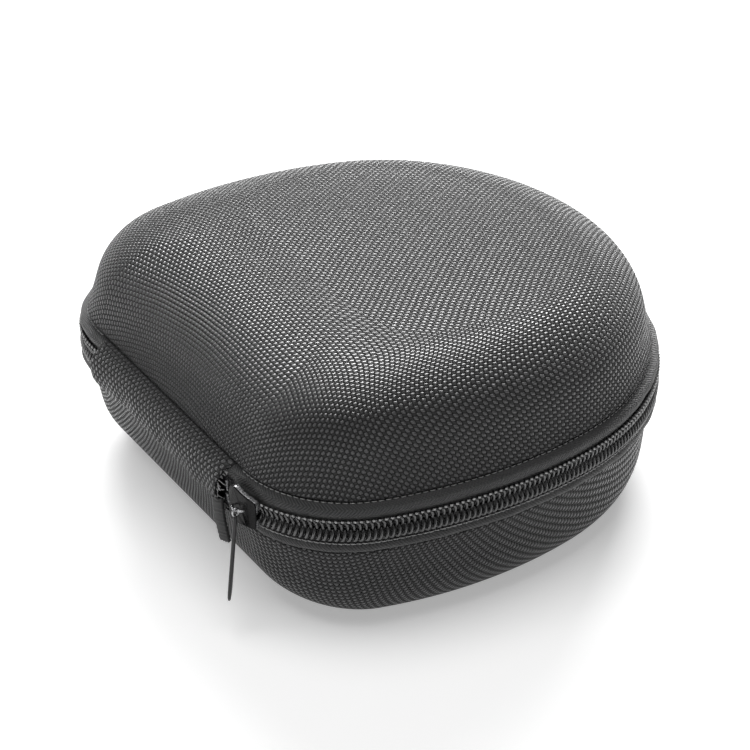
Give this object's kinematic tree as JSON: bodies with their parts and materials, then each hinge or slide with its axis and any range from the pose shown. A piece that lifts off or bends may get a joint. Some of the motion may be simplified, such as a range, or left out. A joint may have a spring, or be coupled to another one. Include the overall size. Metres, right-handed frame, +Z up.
{
  "type": "headphone carrying case",
  "caption": "Moulded clamshell carrying case for over-ear headphones, black woven nylon over foam, fabric hinge, zip round three sides, lined, with a mesh pocket in the lid.",
  "frame": {"origin": "on the floor, under the middle of the whole case's box", "axes": "+Z up through the lid, +Y towards the fabric hinge, -Y towards the opening front, +X along the hinge, the case's longest side"},
  "size_m": [0.2, 0.1914, 0.0921],
  "materials": {
    "ballistic_nylon": "satin basket weave",
    "eva_foam": "matt closed-cell foam",
    "tricot_lining": "brushed tricot",
    "edge_binding": "ribbed tape",
    "elastic_hem": "ribbed elastic",
    "mesh_net": "open knitted net",
    "zip_tape": "herringbone tape",
    "nylon_coil": "polished nylon",
    "sewing_thread": "bonded nylon thread",
    "stop_metal": "black plated",
    "slider_metal": "black nickel, worn bright on the flanges",
    "pull_rubber": "satin"
  },
  "bodies": {
    "tray": {"tray_base_fabric": "ballistic_nylon", "tray_side_fabric": "ballistic_nylon", "tray_foam_core": "eva_foam", "tray_lining": "tricot_lining", "tray_rim_binding": "edge_binding", "tray_zip_tape": "zip_tape", "tray_zip_coil": "nylon_coil", "tray_top_stop": "stop_metal", "zip_bottom_stop": "stop_metal", "tray_seam_thread": "sewing_thread", "zip_chain_tail": "zip_tape", "hinge_band": "ballistic_nylon", "hinge_liner": "tricot_lining"},
    "lid": {"lid_outer_fabric": "ballistic_nylon", "lid_foam_core": "eva_foam", "lid_lining": "tricot_lining", "lid_rim_binding": "edge_binding", "mesh_pocket_net": "mesh_net", "pocket_hem_elastic": "elastic_hem", "pocket_edge_binding": "edge_binding", "lid_zip_tape": "zip_tape", "lid_zip_tape_ends": "zip_tape", "lid_zip_coil": "nylon_coil", "lid_zip_coil_ends": "nylon_coil", "lid_top_stop": "stop_metal", "lid_seam_thread": "sewing_thread"},
    "slider": {"slider_body": "slider_metal", "slider_crown": "slider_metal"},
    "pull": {"pull_eye": "slider_metal", "pull_tab": "pull_rubber"}
  },
  "joints": [
    {"name": "lid_hinge", "type": "hinge", "parent": "tray", "child": "lid", "pos_m": [0, 0.09058, 0.0448], "axis": [-1, 0, 0], "range_deg": [0, 115], "deforming": ["hinge_band", "hinge_liner", "lid_zip_tape_ends", "lid_zip_coil_ends"]},
    {"name": "slider_travel", "type": "hinge", "parent": "tray", "child": "slider", "pos_m": [-0.05407, 0.04778, 0.0448], "axis": [0, 0, 1], "range_deg": [0, 57]},
    {"name": "pull_swing", "type": "hinge", "parent": "slider", "child": "pull", "pos_m": [-0.06099, 0.09356, 0.0448], "axis": [0.9888, 0.1495, 0], "range_deg": [0, 150]}
  ]
}
